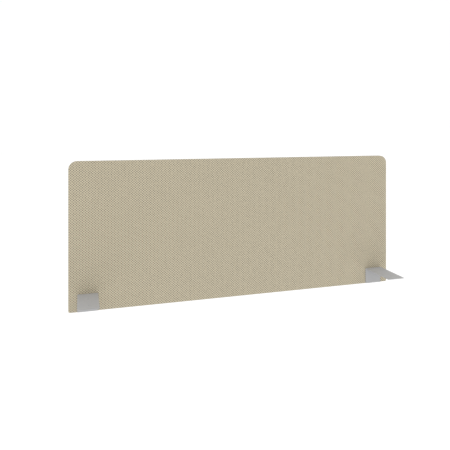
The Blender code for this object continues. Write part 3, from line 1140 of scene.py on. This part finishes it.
def nut_places(side, y):
    """The centres of a side's two sleeve nuts, at the given Y."""
    places = []
    for number in (1, 2):
        low, high = node_box(f"{side}_sleeve_nut_{number}")
        places.append(Vector(((low.x + high.x) / 2, y, (low.z + high.z) / 2)))
    return places


def runs_along_y(first, second):
    """True for an edge through the plate's thickness."""
    return abs(first.y - second.y) > SMALL


def make_rear_plate(side):
    low, high = node_box(f"{side}_rear_plate")
    outline = [(low.x, low.z), (high.x, low.z), (high.x, high.z), (low.x, high.z)]
    body = prism(f"{side}_plate_sheet", outline, "Y", low.y, high.y)
    round_corners(body, runs_along_y, PLATE_CORNER_RADIUS, PLATE_CORNER_STEPS)
    holes = nut_places(side, (low.y + high.y) / 2)
    mesh = cut_round_holes(body, holes, PLATE_HOLE_RADIUS, Vector((0, 1, 0)))
    plate = add_piece(f"{side}_clamp_plate", mesh, "powder_coat", f"{side}_rear_plate")
    finish_metal(plate, POWDER_COAT, EDGE_BREAK)


for side in ("left", "right"):
    make_rear_plate(side)

# %% [markdown]
# ## Sleeve nuts
# Each nut is turned on a lathe, so it is a profile spun round its own axis. The hexagon socket is cut out
# of the finished head, because a spin can't make six flats.

# %% Turning on a lathe
TURNED_SIDES = 48


def turned(name, centre, profile):
    """Spins (radius, y) points, which start and end on the axis, round the Y axis through centre."""
    build = bmesh.new()
    ends = [build.verts.new((0, profile[index][1], 0)) for index in (0, -1)]
    rings = []
    for radius, y in profile[1:-1]:
        angles = [FULL_TURN * step / TURNED_SIDES for step in range(TURNED_SIDES)]
        rings.append([build.verts.new((radius * math.cos(a), y, radius * math.sin(a))) for a in angles])
    for step in range(TURNED_SIDES):
        after = (step + 1) % TURNED_SIDES
        build.faces.new((ends[0], rings[0][step], rings[0][after]))
        for ring, following in zip(rings, rings[1:]):
            build.faces.new((ring[step], following[step], following[after], ring[after]))
        build.faces.new((ends[1], rings[-1][after], rings[-1][step]))
    bmesh.ops.translate(build, verts=build.verts, vec=centre)
    bmesh.ops.recalc_face_normals(build, faces=build.faces)
    return add_object(name, mesh_from(build, name))


# %% Sleeve nuts
HEAD_EDGE = 0.6 * MM
HEAD_THICKNESS = 1.8 * MM
BARREL_RADIUS = 4 * MM
BORE_RADIUS = 3.3 * MM
BORE_DEPTH = 9 * MM
SOCKET_ACROSS_FLATS = 4 * MM
SOCKET_DEPTH = 3 * MM
NUT_EDGE_BREAK = 0.12 * MM


def nut_profile(head_radius, length):
    """(radius, y) from the bottom of the bore to the middle of the head's face, which lies at y = 0."""
    bore_end = BORE_DEPTH - length
    bore = [(0, bore_end), (BORE_RADIUS, bore_end), (BORE_RADIUS, -length)]
    barrel = [(BARREL_RADIUS, -length), (BARREL_RADIUS, -HEAD_THICKNESS)]
    head = [(head_radius, -HEAD_THICKNESS), (head_radius, -HEAD_EDGE)]
    head.append((head_radius - MIDWAY * HEAD_EDGE, -MIDWAY * HEAD_EDGE))
    head += [(head_radius - HEAD_EDGE, 0), (0, 0)]
    return bore + barrel + head


def make_sleeve_nut(side, number):
    node = f"{side}_sleeve_nut_{number}"
    low, high = node_box(node)
    centre = (low + high) / 2
    centre.y = high.y
    profile = nut_profile((high.x - low.x) / 2, high.y - low.y)
    body = turned(f"{node}_turned", centre, profile)
    turn = Matrix.Rotation(math.radians(90), 4, "X")
    corner_radius = SOCKET_ACROSS_FLATS / math.sqrt(3)
    nut_mesh = cut_out(body, [make_cutter(centre, turn, corner_radius, 2 * SOCKET_DEPTH, 6)])
    nut = add_piece(f"{side}_flat_nut_{number}", nut_mesh, "zinc_plate", node)
    finish_metal(nut, ZINC_PLATE, NUT_EDGE_BREAK)


for side in ("left", "right"):
    for number in (1, 2):
        make_sleeve_nut(side, number)

# %% [markdown]
# ## What is inside
# The padding is a thin soft sheet. Its solid already has the right outline and holes, so a copy of it is
# softened at the rim. The board and the weld studs keep their own meshes and only get a finish.

# %% Padding
RIM_RADIUS = 0.5 * MM
RIM_ANGLE = math.radians(60)


def make_padding_piece(name, node):
    build = bmesh.new()
    build.from_mesh(NODES[node].data)
    bmesh.ops.remove_doubles(build, verts=build.verts, dist=SMALL)
    mesh = mesh_from(build, name)
    mesh.materials.append(PADDING)
    padding = add_piece(name, mesh, "padding", node)
    mesh.shade_smooth()
    soften_edges(padding, RIM_RADIUS, 2, RIM_ANGLE)


make_padding_piece("front_padding", "front_foam")
make_padding_piece("rear_padding", "rear_foam")


# %% Board and studs
def paint_node(node, material):
    """Gives a solid its finish."""
    NODES[node].data.materials.clear()
    NODES[node].data.materials.append(material)


paint_node("core_board", PARTICLE_BOARD)
for side in ("left", "right"):
    for number in (1, 2):
        paint_node(f"{side}_weld_stud_{number}", ZINC_PLATE)
